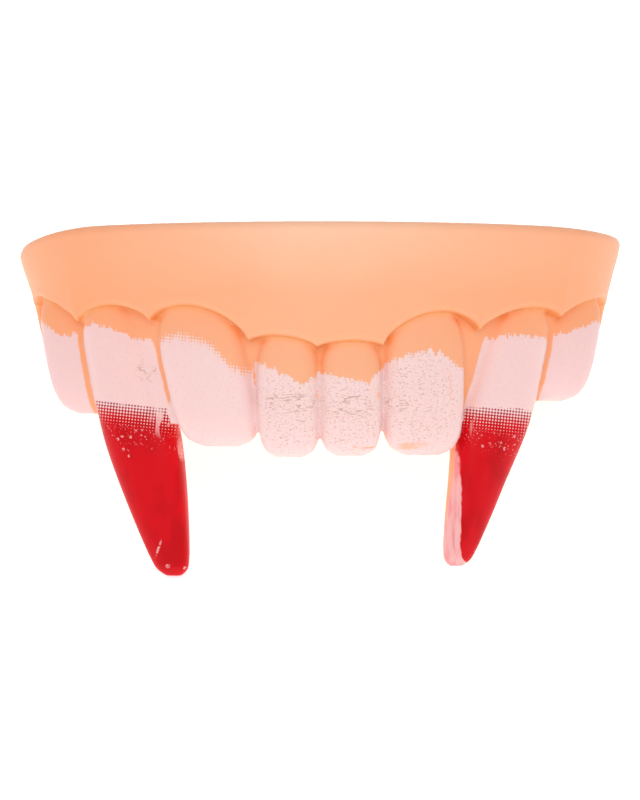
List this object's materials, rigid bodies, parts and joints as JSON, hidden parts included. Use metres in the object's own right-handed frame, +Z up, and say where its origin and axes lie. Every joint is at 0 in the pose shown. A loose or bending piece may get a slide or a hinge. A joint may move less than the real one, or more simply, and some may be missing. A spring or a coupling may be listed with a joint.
{
  "type": "vampire fang denture",
  "caption": "Soft vinyl joke denture: a horseshoe gum band with a channel for the wearer's own teeth, painted false teeth and two long red fangs.",
  "frame": {"origin": "on the surface the denture rests on, under the middle of its bounding box", "axes": "+X along the row of teeth, to the viewer's right; -Y towards the viewer; +Z up from the surface"},
  "size_m": [0.0678, 0.05, 0.0366],
  "materials": {
    "vinyl": "soft vinyl in orange flesh pink, satin",
    "tooth_paint": "pale pink screened paint, satin",
    "fang_paint": "red screened paint, soft gloss"
  },
  "bodies": {
    "root": {"denture": "vinyl"}
  },
  "joints": []
}
